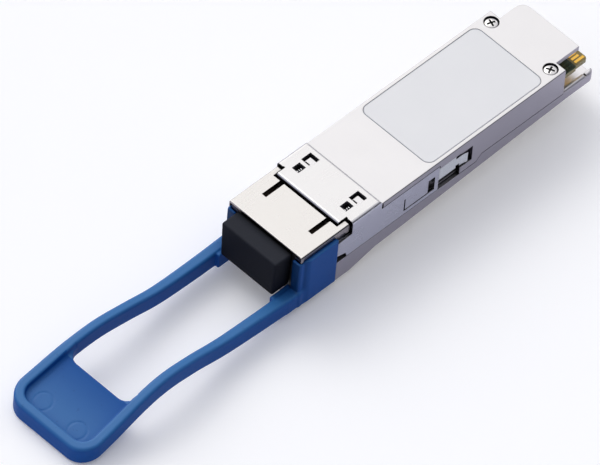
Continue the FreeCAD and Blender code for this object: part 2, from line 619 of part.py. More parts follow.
def main():
    os.makedirs("parts", exist_ok=True)
    slider = make_latch_slider()
    nodes = {
        "bottom_housing": make_bottom_housing(),
        "top_cover": make_top_cover(),
        "nose_cover": make_nose_cover(),
        "emi_collar": make_emi_collar(),
        "label_plate": make_label_plate(),
        "cover_screws": make_cover_screws(),
        "lc_receptacle": make_lc_receptacle(),
        "receptacle_clamp": make_receptacle_clamp(),
        "transmitter_package": make_package(PORT_X[0], 5.0),
        "receiver_package": make_package(PORT_X[1], 5.0),
        "alignment_sleeves": make_alignment_sleeves(),
        "fibre_stubs": make_fibre_stubs(),
        "transmitter_flex": make_flex(PORT_X[0], 2.4, 3.2),
        "receiver_flex": make_flex(PORT_X[1], 2.4, 3.2),
        "main_board": make_main_board(),
        "edge_contacts_top": make_edge_contacts((BOARD_Z[1], BOARD_Z[1] + PAD_PROUD)),
        "edge_contacts_bottom": make_edge_contacts((BOARD_Z[0] - PAD_PROUD, BOARD_Z[0])),
        "signal_processor": make_chip(0.0, 46.5, (7.0, 7.0), 1.1),
        "laser_driver": make_chip(-3.1, 36.5, (3.6, 4.2), 0.9),
        "microcontroller": make_chip(2.6, 54.6, (4.0, 4.0), 0.8),
        "passive_components": make_passive_components(),
        "thermal_pad_optics": make_thermal_pad_optics(),
        "thermal_pad_processor": make_thermal_pad_processor(),
        "latch_slider": slider,
        "pull_tab": make_pull_tab(slider),
        "return_spring_right": make_return_spring(1),
        "return_spring_left": make_return_spring(-1),
        "dust_plug": make_dust_plug(),
    }
    for name, shape in nodes.items():
        put_in_place(name, shape)


main()
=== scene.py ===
import math

import bpy
import numpy as np
from mathutils import Matrix, Vector


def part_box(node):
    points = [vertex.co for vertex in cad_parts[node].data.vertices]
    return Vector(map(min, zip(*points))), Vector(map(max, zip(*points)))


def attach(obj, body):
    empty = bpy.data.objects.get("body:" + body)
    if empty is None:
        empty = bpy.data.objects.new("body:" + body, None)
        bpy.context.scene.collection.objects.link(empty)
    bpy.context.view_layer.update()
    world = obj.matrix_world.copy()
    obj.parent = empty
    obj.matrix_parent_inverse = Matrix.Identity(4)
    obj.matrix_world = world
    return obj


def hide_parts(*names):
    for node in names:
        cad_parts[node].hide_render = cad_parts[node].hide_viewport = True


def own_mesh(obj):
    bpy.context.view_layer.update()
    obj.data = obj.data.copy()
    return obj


# Looks of the optical transceiver module.  Lengths in the shape functions are
# millimetres in the part's own frame: X across, Y = 0 at the front edge of the
# nose cover, Z = 0 at the underside of the rear body.  to_frame() turns them
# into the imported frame, in metres.

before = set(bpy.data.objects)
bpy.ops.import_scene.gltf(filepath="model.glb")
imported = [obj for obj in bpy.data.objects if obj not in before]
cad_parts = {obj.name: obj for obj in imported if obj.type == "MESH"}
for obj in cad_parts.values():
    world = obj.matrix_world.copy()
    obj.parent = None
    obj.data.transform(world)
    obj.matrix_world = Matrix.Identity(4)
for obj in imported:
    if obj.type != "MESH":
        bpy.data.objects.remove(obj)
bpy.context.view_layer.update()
MM = 0.001
BODY_HEIGHT = 8.5

# ---- camera: the view of the object, in the part's frame -------------------
CAMERA_AZIMUTH = 40.74
CAMERA_ELEVATION = 49.81
CAMERA_ROLL = 5.62
CAMERA_DISTANCE = 2676.0
CAMERA_TARGET = (-3.26, 12.87, -5.17)
PIXELS_PER_MM = 5.80        # at the target's distance, in an image 600 wide
IMAGE_WIDTH = 600
SENSOR = 36.0

# ---- pull tab ----------------------------------------------------------------
TAB_MIDDLE = [(-52.4, -3.35), (-44.0, -1.35), (-38.5, 0.0), (-32.5, 0.7), (-25.0, -0.1),
              (-18.5, -1.3), (-10.0, -1.85), (0.0, -2.0)]
TAB_OUTSIDE = [(-52.4, 9.95), (-44.0, 9.7), (-34.0, 9.15), (-22.0, 8.8), (-11.0, 8.97), (0.0, 9.25)]
TAB_INSIDE = [(-52.4, 8.0), (-44.0, 7.7), (-34.0, 7.2), (-22.0, 6.87), (0.0, 6.8)]
TAB_HEIGHT = 3.7
TAB_EDGE = 0.55
TIP_CORNER = 4.3
TIP_RIM = 1.8
GRIP_REAR = -39.7
GRIP_DEPTH = 1.1
HOLE_CORNER = 2.5
PLATE_X = (8.58, 9.45)
PLATE_Y = (0.1, 8.7)
PLATE_Z = (-3.6, 7.35)
SWEEP_R = 1.6
RING_R = 1.75
PLATE_CORNER = 2.0
HEEL_X = (6.1, 7.4)
HEEL_Y = (-4.35, 0.2)
HEEL_Z = (-3.6, -0.3)
LIP_X = (7.0, 8.8)
LIP_Y = (-0.35, 0.2)
LIP_TOP = 7.0
TAB_STEP = 0.2
TAB_LOW = (-9.95, -52.4, -5.2)
TAB_HIGH = (9.95, 8.45, 7.2)
ROOT_X = (8.58, 9.2)
ROOT_Y = (-3.0, 1.0)
ROOT_Z = (-3.7, -0.4)
SKIRT_X = (8.58, 8.95)      # joins the lip to the plate, round its cut corner
SKIRT_Y = (0.0, 1.2)
GRIP_RINGS = ((-4.1, -48.6), (4.4, -48.8))
SHADE_BLUE = (0.20, 0.44, 0.74)     # painted shade for the tab's sides, hollows and panel

# ---- dust plug -----------------------------------------------------------------
PLUG_TOP_HALF = 6.62
PLUG_BOTTOM_HALF = 6.28
PLUG_Y = (-4.0, 0.2)
PLUG_Z = (-0.15, 7.95)
PORT_X = (-3.125, 3.125)
PORT_Z = 2.6
PRONG_HALF = 2.25
PRONG_Y = (-1.0, 8.6)
PRONG_Z = (0.35, 4.85)
KEY_HALF = 1.5
KEY_Y = (-1.0, 5.6)
KEY_Z = (4.0, 6.6)
BORE_R = 1.7
BORE_FLOOR = 3.6
PLUG_STEP = 0.15

# ---- springs and screws ---------------------------------------------------------
SPRING_Y = (15.0, 21.8)
SPRING_X = 7.93
SPRING_Z = 4.3
SPRING_R = 0.46
SPRING_TURNS = 9
SPRING_END_GAP = 0.01
WIRE_R = 0.09
SCREW_X = 7.2
SCREW_Y = 62.6
SCREW_TOP = 8.42
SCREW_SEAT = 7.62
SCREW_END = 2.6
SCREW_STEP = 0.06
HEAD_R = 1.25
HEAD_BOX = 1.3
DOME_R = 4.2
SHANK_TOP = 7.7
THREAD_ROOT_R = 0.58
THREAD_DEPTH = 0.1
THREAD_PITCH = 0.4
CROSS_HALF = 0.17
CROSS_REACH = 0.88
CROSS_FLOOR = 7.75

# ---- earth fingers in the collar's square windows ----------------------------------
FINGER_Y = (13.1, 13.55, 14.0)
FINGER_SIZE = (0.42, 0.17)
FINGER_Z = (7.75, 8.95)
FINGER_X = {"window_fingers_right": 5.95, "window_fingers_left": -5.65}
FINGER_STEP = 0.05

# ---- places that the materials mark, on the CAD parts --------------------------------
BOARD_MIDDLE_Z = 4.8
BOARD_HALF = 0.49
BOARD_TAIL_Y = 68.5
# Where painted shade goes: under the slots, along the cover's and flanges' top edges, and just inside
# the label's edge.
SLOT_REAR_Y = 12.9
SLOT_FLOOR_Z = 7.6
COVER_EDGE_X = 9.05
COVER_EDGE_Z = 8.38
COVER_SHADE_Z = 8.4
FLANGE_TOP_Z = 8.42
LABEL_CORNER = 1.6
LABEL_LINE = 1.46
EDGE_SHADE = (0.03, 0.03, 0.035)


# ---- frame -----------------------------------------------------------------------
front_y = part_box("nose_cover")[0].y
base_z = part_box("label_plate")[1].z - (BODY_HEIGHT - 0.01) * MM


def to_frame(points):
    """Millimetres of the part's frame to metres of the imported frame."""
    moved = np.asarray(points, float).reshape(-1, 3) * MM
    return moved + np.array([0.0, front_y, base_z])


def anchor(x, y, z):
    return tuple(to_frame([(x, y, z)])[0])


# ---- smooth solids from distance fields -------------------------------------------
def smooth_curve(rows):
    """A function of Y that runs smoothly through rows of (Y, value)."""
    ys = np.array([r[0] for r in rows])
    vs = np.array([r[1] for r in rows])
    slopes = np.gradient(vs, ys)

    def value(y):
        i = np.clip(np.searchsorted(ys, y) - 1, 0, len(ys) - 2)
        h = ys[i + 1] - ys[i]
        t = np.clip((y - ys[i]) / h, 0, 1)
        a = vs[i] * (1 + 2 * t) * (1 - t) ** 2 + vs[i + 1] * t * t * (3 - 2 * t)
        return a + h * (slopes[i] * t * (1 - t) ** 2 - slopes[i + 1] * t * t * (1 - t))
    return value


def both(a, b, r):
    """Inside both fields, with the shared edge rounded to radius r."""
    u = np.maximum(a + r, 0)
    v = np.maximum(b + r, 0)
    return np.minimum(np.maximum(a, b), -r) + np.hypot(u, v)


def either(a, b, r):
    """Inside either field, with a hollow fillet of radius r where they meet."""
    return -both(-a, -b, r)


def block(p, x, y, z, r):
    """A box with rounded edges."""
    q = [np.abs(c - (lo + hi) / 2) - (hi - lo) / 2 + r for c, (lo, hi) in zip(p, (x, y, z))]
    outside = np.sqrt(sum(np.maximum(c, 0) ** 2 for c in q))
    return outside + np.minimum(np.maximum(np.maximum(q[0], q[1]), q[2]), 0) - r


def edge_crossings(values, axis):
    """Grid edges along one axis whose ends lie on different sides of the surface."""
    size = values.shape[axis]
    a = np.take(values, range(size - 1), axis)
    b = np.take(values, range(1, size), axis)
    where = np.argwhere((a < 0) != (b < 0))
    index = tuple(where.T)
    share = a[index] / (a[index] - b[index])
    return where, share, a[index] < 0


def surface_mesh(name, field, low, high, step):
    """A closed quad mesh on the surface where the field is zero."""
    lines = [np.arange(lo - 2 * step, hi + 3 * step, step) for lo, hi in zip(low, high)]
    values = field(np.meshgrid(*lines, indexing="ij"))
    cells = tuple(n - 1 for n in values.shape)
    total = np.zeros(cells + (3,))
    count = np.zeros(cells)
    rings = []
    for axis in range(3):
        where, share, starts_inside = edge_crossings(values, axis)
        point = where.astype(float)
        point[:, axis] += share
        u, v = [k for k in range(3) if k != axis]
        ring = []
        for du, dv in ((0, 0), (-1, 0), (-1, -1), (0, -1)):
            cell = where.copy()
            cell[:, u] += du
            cell[:, v] += dv
            np.add.at(total, tuple(cell.T), point)
            np.add.at(count, tuple(cell.T), 1)
            ring.append(cell)
        turn = starts_inside if axis != 1 else ~starts_inside
        rings.append((ring, turn))
    used = count > 0
    number = np.full(cells, -1)
    number[used] = np.arange(used.sum())
    origin = np.array([line[0] for line in lines])
    points = total[used] / count[used][:, None] * step + origin
    points = settle(field, points, step)
    faces = []
    for ring, turn in rings:
        quads = np.stack([number[tuple(c.T)] for c in ring], axis=1)
        faces.append(np.where(turn[:, None], quads, quads[:, ::-1]))
    return mesh_object(name, points, np.concatenate(faces).tolist())


def settle(field, points, step):
    """Moves points onto the surface along the field's slope."""
    small = step * 0.05
    for _ in range(3):
        here = field(list(points.T))
        slope = []
        for axis in range(3):
            moved = points.copy()
            moved[:, axis] += small
            slope.append((field(list(moved.T)) - here) / small)
        slope = np.stack(slope, axis=1)
        size = np.maximum((slope ** 2).sum(1), 0.2)
        shift = slope * (here / size)[:, None]
        points = points - np.clip(shift, -step / 2, step / 2)
    return points


def mesh_object(name, points, faces):
    """A mesh object from millimetre points of the part's frame."""
    mesh = bpy.data.meshes.new(name)
    mesh.from_pydata([tuple(p) for p in to_frame(points)], [], faces)
    mesh.validate()
    mesh.update()
    mesh.polygons.foreach_set("use_smooth", [True] * len(mesh.polygons))
    piece = bpy.data.objects.new(name, mesh)
    bpy.context.scene.collection.objects.link(piece)
    return piece


# ---- material building blocks ---------------------------------------------------
class Nodes:
    """Short way to add nodes to a material and join them."""

    def __init__(self, name):
        self.material = bpy.data.materials.new(name)
        self.material.use_nodes = True
        self.tree = self.material.node_tree
        self.shader = self.tree.nodes["Principled BSDF"]
        coordinates = self.add("ShaderNodeTexCoord").outputs
        self.where = coordinates["Object"]
        self.normal = coordinates["Normal"]

    def add(self, kind, settings=None, **inputs):
        node = self.tree.nodes.new(kind)
        for key, value in (settings or {}).items():
            setattr(node, key, value)
        for key, value in inputs.items():
            self.put(node.inputs[key.replace("_", " ")], value)
        return node

    def put(self, socket, value):
        if isinstance(value, bpy.types.NodeSocket):
            self.tree.links.new(value, socket)
        else:
            socket.default_value = value

    def set(self, **inputs):
        for key, value in inputs.items():
            self.put(self.shader.inputs[key.replace("_", " ")], value)

    def stretched(self, scale):
        return self.add("ShaderNodeMapping", Vector=self.where, Scale=scale).outputs[0]

    def noise(self, size_mm, detail=4.0, stretch=(1, 1, 1)):
        vector = self.stretched(stretch) if stretch != (1, 1, 1) else self.where
        node = self.add("ShaderNodeTexNoise", Vector=vector, Scale=1000.0 / size_mm, Detail=detail)
        return node.outputs["Fac"]

    def span(self, value, low, high):
        """A 0 to 1 value turned into low to high."""
        node = self.add("ShaderNodeMapRange", Value=value, To_Min=low, To_Max=high)
        return node.outputs[0]

    def math(self, operation, a, b=0.0, c=0.0):
        node = self.add("ShaderNodeMath", {"operation": operation})
        for socket, value in zip(node.inputs, (a, b, c)):
            self.put(socket, value)
        return node.outputs[0]

    def mix(self, share, a, b, blend="MIX"):
        node = self.add("ShaderNodeMix", {"data_type": "RGBA", "blend_type": blend})
        for socket, value in zip((node.inputs[0], node.inputs[6], node.inputs[7]), (share, a, b)):
            if isinstance(value, tuple) and len(value) == 3:
                value = (*value, 1.0)
            self.put(socket, value)
        return node.outputs[2]

    def crevice(self, reach_mm):
        """Ambient occlusion, used to paint shade: 0 in a narrow gap, 1 on an open face."""
        node = self.add("ShaderNodeAmbientOcclusion", {"samples": 8}, Distance=reach_mm * MM)
        return node.outputs["AO"]

    def rounded(self, radius_mm):
        node = self.add("ShaderNodeBevel", {"samples": 4}, Radius=radius_mm * MM)
        return node.outputs[0]

    def bump(self, height, depth_mm, strength=1.0, normal=None):
        node = self.add("ShaderNodeBump", Height=height, Distance=depth_mm * MM, Strength=strength)
        if normal is not None:
            self.put(node.inputs["Normal"], normal)
        return node.outputs[0]

    def part(self, axis):
        """One coordinate in millimetres of the part's frame."""
        socket = self.add("ShaderNodeSeparateXYZ", Vector=self.where).outputs[axis]
        shift = {"X": 0.0, "Y": front_y, "Z": base_z}[axis]
        return self.math("MULTIPLY", self.math("SUBTRACT", socket, shift), 1000.0)


def facing(n, axis):
    """How far the surface faces along an axis, from -1 to 1."""
    return n.add("ShaderNodeSeparateXYZ", Vector=n.normal).outputs[axis]


def metal(name, colour, rough, grain_mm, stretch=(1, 1, 1), edge=0.08, side=(1, 1, 1), gap=0.9,
          vary=0.04, shaded_below=99.0):
    """Plated metal: fine grain and faint mottling, with painted shade: faces turned away from up take
    the darker side colour, and narrow hollows found by ambient occlusion go nearly black below a height.
    """
    n = Nodes(name)
    patches = n.noise(5.0, 3.0)
    fine = n.noise(grain_mm, 5.0, stretch)
    mottle_and_side_shade = n.mix(patches, colour, tuple(c * 0.95 for c in colour))
    # Painted shade: level weights the top colour by how far the face points up, and other faces take the
    # darker side colour.
    level = n.math("POWER", n.math("ABSOLUTE", facing(n, "Z")), 2.0)
    sides = n.mix(1.0, mottle_and_side_shade, side, "MULTIPLY")
    # Painted shade in narrow hollows (ambient occlusion), left off above shaded_below.
    painted_gap_shade = n.math("POWER", n.crevice(gap), 2.0)
    painted_gap_shade = n.math("MAXIMUM", painted_gap_shade, n.math("GREATER_THAN", n.part("Z"), shaded_below))
    mottle_and_side_shade = n.mix(level, sides, mottle_and_side_shade)
    n.set(Base_Color=n.mix(painted_gap_shade, tuple(c * 0.02 for c in colour), mottle_and_side_shade), Metallic=1.0)
    grain = n.span(fine, rough - vary, rough + vary)
    n.set(Roughness=n.math("ADD", grain, n.span(patches, -0.02, 0.02)))
    n.set(Normal=n.bump(fine, 0.01, vary, n.rounded(edge)))
    return n


def moulded(name, colour, rough, grain_mm=0.25, depth_mm=0.01, edge=0.0):
    """Moulded plastic or rubber with a fine surface texture."""
    n = Nodes(name)
    patches = n.noise(6.0, 3.0)
    fine = n.noise(grain_mm, 3.0)
    darker = tuple(c * (1 - 0.12) for c in colour)
    lighter = tuple(c * (1 + 0.12) for c in colour)
    n.set(Base_Color=n.mix(patches, darker, lighter))
    texture = n.span(fine, rough - 0.06, rough + 0.06)
    n.set(Roughness=n.math("ADD", texture, n.span(patches, -0.04, 0.04)))
    n.set(Normal=n.bump(fine, depth_mm, 0.5, n.rounded(edge) if edge else None))
    return n.material


# ---- materials ---------------------------------------------------------------------
def label_film():
    """Blank film: a thin grey line just inside its edge is painted shadow of the recess the film lies
    in.
    """
    n = Nodes("label_film")
    low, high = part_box("label_plate")
    middle = (low + high) / 2
    far = []
    for axis in (0, 1):
        half = (high[axis] - low[axis]) / 2
        socket = n.add("ShaderNodeSeparateXYZ", Vector=n.where).outputs[axis]
        offset = n.math("ABSOLUTE", n.math("SUBTRACT", socket, middle[axis]))
        far.append(n.math("MAXIMUM", n.math("SUBTRACT", offset, half - LABEL_CORNER * MM), 0.0))
    squares = [n.math("POWER", distance, 2.0) for distance in far]
    corner = n.math("SQRT", n.math("ADD", *squares))
    # Painted shadow: the grey line along the film's edge.
    edge = n.math("GREATER_THAN", corner, LABEL_LINE * MM)
    fibres = n.noise(0.5, 4.0)
    paper = n.mix(n.noise(8.0), (0.79, 0.79, 0.79), (0.84, 0.84, 0.83))
    n.set(Base_Color=n.mix(edge, paper, (0.50, 0.51, 0.54)), Roughness=n.span(fibres, 0.42, 0.55))
    n.set(Normal=n.bump(fibres, 0.004, 0.4))
    return n.material


def solder_mask():
    """Dark green mask over copper traces that run from the pads to the chips."""
    n = Nodes("solder_mask")
    across = n.math("FRACT", n.math("MULTIPLY", n.part("X"), 1.25))
    stripes = n.math("ABSOLUTE", n.math("SUBTRACT", across, 0.5))
    trace = n.math("GREATER_THAN", stripes, 0.36)
    off_middle = n.math("ABSOLUTE", n.math("SUBTRACT", n.part("Z"), BOARD_MIDDLE_Z))
    on_face = n.math("LESS_THAN", off_middle, BOARD_HALF)
    mask = n.mix(n.noise(3.0), (0.004, 0.018, 0.010), (0.008, 0.030, 0.016))
    copper = n.mix(trace, mask, (0.020, 0.060, 0.030))
    tail = n.math("GREATER_THAN", n.part("Y"), BOARD_TAIL_Y)
    copper = n.mix(tail, copper, (0.22, 0.16, 0.035))
    glass = n.mix(n.noise(0.3, 3.0, (1, 1, 6)), (0.16, 0.13, 0.045), (0.30, 0.25, 0.10))
    n.set(Base_Color=n.mix(on_face, copper, glass), Roughness=n.span(n.noise(0.5), 0.22, 0.36))
    n.set(Normal=n.bump(trace, 0.02, 0.5, n.rounded(0.04)))
    return n.material


def gold_plate():
    n = Nodes("gold_plate")
    wear = n.noise(0.4, 4.0, (1, 0.2, 1))
    n.set(Base_Color=n.mix(wear, (0.78, 0.47, 0.09), (0.62, 0.36, 0.07)), Metallic=1.0)
    n.set(Roughness=n.span(wear, 0.16, 0.30), Normal=n.bump(wear, 0.004, 0.3, n.rounded(0.03)))
    return n.material


def elastomer(name, colour, lighter):
    """Soft blue moulding: satin and cloudy, with painted shade on its sides, in hollows near the plug
    and on front faces near the nose; its panel painted darker, partly for its matt finish and partly as
    painted shade of its recess.
    """
    n = Nodes(name)
    clouds = n.noise(7.0, 4.0)
    fine = n.noise(0.35, 4.0)
    specks = n.math("GREATER_THAN", n.noise(1.1, 2.0), 0.70)
    base = n.mix(clouds, colour, lighter)
    base = n.mix(n.math("MULTIPLY", specks, 0.35), base, tuple(c * 0.7 for c in colour))
    shaded_blue = n.mix(1.0, base, SHADE_BLUE, "MULTIPLY")

    y = n.part("Y")
    panel_front = TAB_MIDDLE[0][0] + TIP_RIM
    panel = n.add("ShaderNodeMapRange", Value=y, From_Min=panel_front, From_Max=GRIP_REAR)
    in_y = n.math("MULTIPLY", n.span(panel.outputs[0], 0.0, 0.85), n.math("LESS_THAN", y, GRIP_REAR))
    in_y = n.math("MULTIPLY", in_y, n.math("GREATER_THAN", y, panel_front))
    in_x = n.math("LESS_THAN", n.math("ABSOLUTE", n.part("X")), TAB_INSIDE[0][1] - 0.2)
    # Painted shade: only up-facing faces outside the panel and away from hollows keep the lighter blue,
    # with a higher specular level; the rest take the darker blue.
    on_top = n.math("POWER", n.math("MAXIMUM", facing(n, "Z"), 0.0), 1.5)
    on_top = n.math("MULTIPLY", on_top, n.math("SUBTRACT", 1.0, n.math("MULTIPLY", in_x, in_y)))
    on_top = n.math("MULTIPLY", on_top, n.math("POWER", n.crevice(3.0), 1.5))
    # Painted shade: faces turned to the front near the nose go nearly black.
    front = n.math("MAXIMUM", n.math("MULTIPLY", facing(n, "Y"), -0.7), 0.0)
    front = n.math("MULTIPLY", front, n.math("GREATER_THAN", y, -3.0))
    base = n.mix(front, n.mix(on_top, shaded_blue, base), tuple(c * 0.12 for c in colour))
    n.set(Base_Color=base, Specular_IOR_Level=n.span(on_top, 0.08, 0.35))
    n.set(Roughness=n.math("ADD", n.span(fine, 0.40, 0.52), n.span(clouds, -0.04, 0.04)))
    n.set(Normal=n.bump(fine, 0.012, 0.5))
    return n.material


def matt_rubber():
    """Black rubber of the plug, painted nearly black where it lies in the shade under the nose cover,
    with its specular level raised only on its open top.
    """
    n = Nodes("matt_rubber")
    fine = n.noise(0.4, 3.0)
    on_top = n.math("MAXIMUM", facing(n, "Z"), 0.0)
    open_air = n.math("POWER", n.crevice(1.6), 3.0)
    light = n.math("MULTIPLY", on_top, open_air)
    patches = n.mix(n.noise(6.0), (0.006, 0.007, 0.012), (0.008, 0.009, 0.015))
    # Painted shade: near-black in narrow hollows (ambient occlusion).
    n.set(Base_Color=n.mix(open_air, (0.001, 0.001, 0.001), patches))
    n.set(Specular_IOR_Level=n.span(light, 0.07, 0.30), Specular_Tint=(0.85, 0.9, 1.0, 1.0))
    n.set(Roughness=n.span(fine, 0.56, 0.68), Normal=n.bump(fine, 0.012, 0.5))
    return n.material


def ceramic():
    n = Nodes("ceramic")
    n.set(Base_Color=n.mix(n.noise(1.0), (0.78, 0.76, 0.70), (0.86, 0.84, 0.78)))
    n.set(Roughness=n.span(n.noise(0.3), 0.18, 0.28), Normal=n.bump(n.noise(0.2), 0.003, 0.3))
    return n.material


def flex_film():
    """Amber film with copper lines along it."""
    n = Nodes("flex_film")
    lines = n.math("FRACT", n.math("MULTIPLY", n.part("X"), 2.0))
    copper = n.math("GREATER_THAN", lines, 0.6)
    n.set(Base_Color=n.mix(copper, (0.42, 0.16, 0.03), (0.60, 0.28, 0.08)))
    n.set(Roughness=n.span(n.noise(0.6), 0.25, 0.4), Normal=n.bump(copper, 0.01, 0.4))
    return n.material


def paint(node, material):
    """Gives a CAD node one material."""
    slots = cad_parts[node].data.materials
    slots.clear()
    slots.append(material)


def recoloured(n, share, colour):
    """Mixes a colour over the one the material has so far."""
    so_far = n.shader.inputs["Base Color"].links[0].from_socket
    n.set(Base_Color=n.mix(share, so_far, colour))
    return n.material


def cast_base():
    """Casting of the base: sides painted darker, and painted shade under the slots of the nose cover,
    brown at their front going to black further in.
    """
    n = metal("cast_base", (0.72, 0.70, 0.69), 0.34, 0.5, (1, 0.25, 1), side=(0.45, 0.44, 0.55), gap=0.7)
    # Painted shade: under the nose cover's slots the casting goes from brown to black with depth.
    ahead = n.math("LESS_THAN", n.part("Y"), SLOT_REAR_Y)
    under = n.math("MULTIPLY", ahead, n.math("GREATER_THAN", n.part("Z"), SLOT_FLOOR_Z))
    depth = n.add("ShaderNodeMapRange", Value=n.part("Y"), From_Min=6.0, From_Max=9.2)
    return recoloured(n, under, n.mix(depth.outputs[0], (0.10, 0.075, 0.06), (0.012, 0.010, 0.010)))


def cast_cover():
    """Casting of the cover: sides painted darker, painted shade in narrow hollows only below
    COVER_SHADE_Z, and a thin painted dark line of shade under its long top edges.
    """
    n = metal("cast_cover", (0.70, 0.685, 0.67), 0.34, 0.6, (1, 0.3, 1), side=(0.50, 0.49, 0.61),
              gap=1.1, shaded_below=COVER_SHADE_Z)
    # Painted shade: a thin dark line just under the long top edges, on the outer sides.
    off_line = n.math("ABSOLUTE", n.math("SUBTRACT", n.part("Z"), COVER_EDGE_Z))
    line = n.math("LESS_THAN", off_line, 0.09)
    outside = n.math("GREATER_THAN", n.math("ABSOLUTE", n.part("X")), COVER_EDGE_X)
    return recoloured(n, n.math("MULTIPLY", n.math("MULTIPLY", line, outside), 0.75), EDGE_SHADE)


def collar_sheet():
    """Stainless sheet: sides painted darker, and its front-facing edge painted in shade."""
    n = metal("collar_sheet", (0.72, 0.705, 0.68), 0.27, 0.35, (1, 0.12, 1), 0.05,
              (0.61, 0.63, 0.82), vary=0.012)
    # Painted shade on faces turned to the front.
    return recoloured(n, n.math("LESS_THAN", facing(n, "Y"), -0.8), EDGE_SHADE)


def nose_sheet():
    """Warm sheet of the nose cover: sides painted darker, and a painted dark line of shade where its
    flanges turn down.
    """
    n = metal("nose_sheet", (0.70, 0.675, 0.63), 0.27, 0.4, (1, 0.15, 1), 0.05,
              (0.40, 0.38, 0.45), vary=0.012)
    # Painted shade: the flanges' outward faces above FLANGE_TOP_Z go dark.
    flank = n.math("GREATER_THAN", n.math("ABSOLUTE", facing(n, "X")), 0.6)
    high = n.math("GREATER_THAN", n.part("Z"), FLANGE_TOP_Z)
    return recoloured(n, n.math("MULTIPLY", flank, high), EDGE_SHADE)


def paint_cad_nodes():
    sheet = metal("stamped_sheet", (0.72, 0.72, 0.72), 0.27, 0.35, (1, 0.12, 1), 0.05, vary=0.012)
    strip = metal("slider_strip", (0.66, 0.69, 0.76), 0.24, 0.35, (1, 0.1, 1), 0.04, vary=0.03)
    gilt = metal("package_plate", (0.85, 0.66, 0.36), 0.28, 0.5, edge=0.06).material
    black = moulded("port_plastic", (0.018, 0.018, 0.020), 0.5, edge=0.05)
    chip = moulded("chip_plastic", (0.020, 0.020, 0.022), 0.55, edge=0.04)
    pad = moulded("thermal_pad_gel", (0.30, 0.36, 0.44), 0.8, 0.5, 0.03)
    choices = {
        "bottom_housing": cast_base(), "top_cover": cast_cover(), "emi_collar": collar_sheet(),
        "nose_cover": nose_sheet(), "receptacle_clamp": sheet.material,
        "latch_slider": strip.material,
        "transmitter_package": gilt, "receiver_package": gilt, "lc_receptacle": black,
        "signal_processor": chip, "laser_driver": chip, "microcontroller": chip,
        "thermal_pad_optics": pad, "thermal_pad_processor": pad, "label_plate": label_film(),
        "main_board": solder_mask(), "edge_contacts_top": gold_plate(),
        "edge_contacts_bottom": gold_plate(), "alignment_sleeves": ceramic(),
        "fibre_stubs": ceramic(), "passive_components": ceramic(),
        "transmitter_flex": flex_film(), "receiver_flex": flex_film()}
    for node, material in choices.items():
        paint(node, material)


# ---- pull tab ----------------------------------------------------------------------
def tab_field(p):
    """Distance field of the pull tab: paddle, arms, grip recess, plates, lips and heels."""
    x, y, z = p
    across = np.abs(x)
    middle = smooth_curve(TAB_MIDDLE)(y)
    lean = 1 / np.sqrt(1 + (smooth_curve(TAB_MIDDLE)(y + 0.5) - middle) ** 2 * 4)
    outside = smooth_curve(TAB_OUTSIDE)(y)
    inside = smooth_curve(TAB_INSIDE)(y)
    top = middle + TAB_HEIGHT / 2
    tip = TAB_MIDDLE[0][0]

    plan = both(both(across - outside, tip - y, TIP_CORNER), y - 0.1, 0.4)
    ribbon = (np.abs(z - middle) - TAB_HEIGHT / 2) * lean
    loop = both(plan, ribbon, TAB_EDGE)
    hole = both(across - inside, GRIP_REAR - y, HOLE_CORNER)
    loop = both(loop, -hole, TAB_EDGE)
    walls = both(across - inside, tip + TIP_RIM - y, TIP_CORNER - TIP_RIM)
    grip = both(walls, (top - GRIP_DEPTH - z) * lean, 0.5)
    grip = np.maximum(grip, y - GRIP_REAR - 2.0)
    loop = both(loop, -grip, 0.45)
    for ring_x, ring_y in GRIP_RINGS:
        ring = np.abs(np.hypot(x - ring_x, y - ring_y) - RING_R) - 0.14
        groove = np.maximum(ring, np.abs(z - (top - GRIP_DEPTH)) - 0.05)
        loop = both(loop, -groove, 0.08)

    q = (across, y, z)
    plate = block(q, PLATE_X, PLATE_Y, PLATE_Z, 0.3)
    plate = both(plate, both(across - PLATE_X[1], PLATE_Y[0] - y, PLATE_CORNER), 0.02)
    root = block(q, ROOT_X, ROOT_Y, ROOT_Z, 0.2)
    lip = block(q, LIP_X, LIP_Y, (PLATE_Z[0], LIP_TOP), 0.2)
    skirt = block(q, SKIRT_X, SKIRT_Y, (PLATE_Z[0], LIP_TOP), 0.2)
    lip = either(lip, skirt, 0.3)
    heel = block(q, HEEL_X, HEEL_Y, HEEL_Z, 0.2)
    tab = np.minimum.reduce([either(loop, plate, SWEEP_R), root, lip, heel])
    nose_space = np.maximum(across - PLATE_X[0], LIP_Y[1] - y)
    tab = np.maximum(tab, -nose_space)
    return np.maximum(tab, np.maximum(z - PLATE_Z[1], across - 9.9))


def make_pull_tab():
    tab = surface_mesh("pull_tab_moulding", tab_field, TAB_LOW, TAB_HIGH, TAB_STEP)
    blue = elastomer("blue_elastomer", (0.027, 0.148, 0.385), (0.032, 0.166, 0.420))
    tab.data.materials.append(blue)
    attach(tab, "latch")
    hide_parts("pull_tab")


